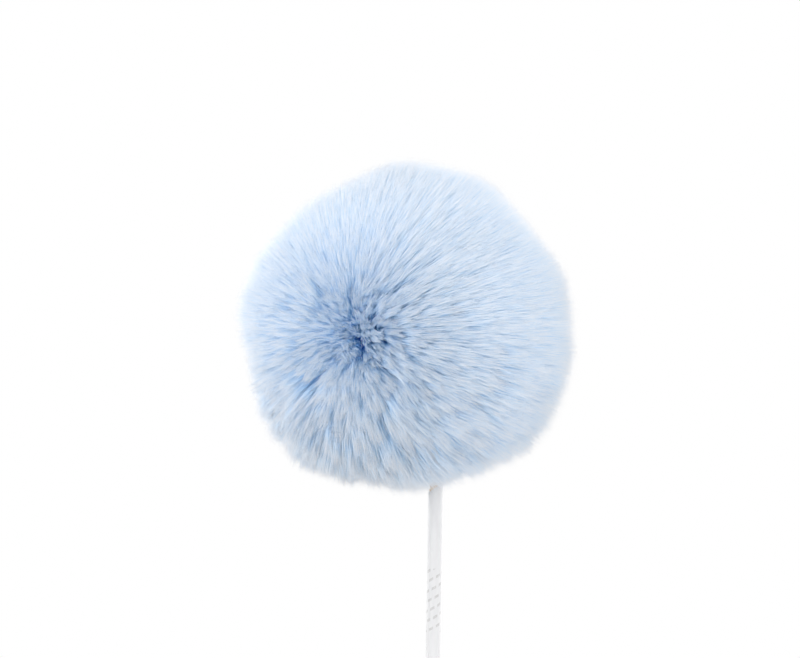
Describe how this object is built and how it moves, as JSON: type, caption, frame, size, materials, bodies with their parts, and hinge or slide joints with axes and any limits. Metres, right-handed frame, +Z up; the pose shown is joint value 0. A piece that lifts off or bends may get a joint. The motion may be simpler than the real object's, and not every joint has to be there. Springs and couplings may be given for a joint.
{
  "type": "furry windscreen",
  "caption": "Round furry windscreen: a long-pile fur cover over a foam core whose socket pushes onto a slim paper-wrapped stem.",
  "frame": {"origin": "on the stem's axis at the shoulder of the spigot at its foot", "axes": "+Z up along the stem, +X to the right and +Y away from the viewer of the picture"},
  "size_m": [0.1362, 0.14, 0.2601],
  "materials": {
    "fur": "long soft pile, darker blue at the roots and paler at the tips",
    "backing": "fine knit",
    "thread": "twisted sewing thread",
    "elastic": "braided elastic cord",
    "foam": "open-cell acoustic foam",
    "base_plastic": "matte moulded plastic",
    "socket_plastic": "matte moulded plastic",
    "bush_rubber": "soft moulded rubber",
    "wood": "bare birch dowel",
    "wrap": null
  },
  "bodies": {
    "stem": {"stem_dowel": "wood", "stem_wrap": "wrap"},
    "grip": {"grip_bush": "bush_rubber"},
    "core": {"socket_tube": "socket_plastic", "socket_cap": "socket_plastic", "base_disc": "base_plastic", "foam_lower": "foam", "foam_upper": "foam"},
    "cover": {"crown_patch": "backing", "gore_seams": "thread", "fur_gore_1": "fur", "fur_gore_2": "fur", "fur_gore_3": "fur", "fur_gore_4": "fur", "fur_gore_5": "fur", "fur_gore_6": "fur", "fur_skirt": "fur", "hem_binding": "backing", "hem_elastic": "elastic", "hem_stitches": "thread"}
  },
  "joints": [
    {"name": "windscreen_pull_off", "type": "slide", "parent": "stem", "child": "grip", "axis": [0, 0, 1], "range_m": [0, 0.085]},
    {"name": "windscreen_turn", "type": "hinge", "parent": "grip", "child": "core", "pos_m": [0, 0, 0.13], "axis": [0, 0, 1], "continuous": true},
    {"name": "cover_pull_off", "type": "slide", "parent": "core", "child": "cover", "axis": [0, 0, 1], "range_m": [0, 0.11], "deforming": ["fur_skirt", "hem_binding", "hem_elastic", "hem_stitches"]}
  ]
}
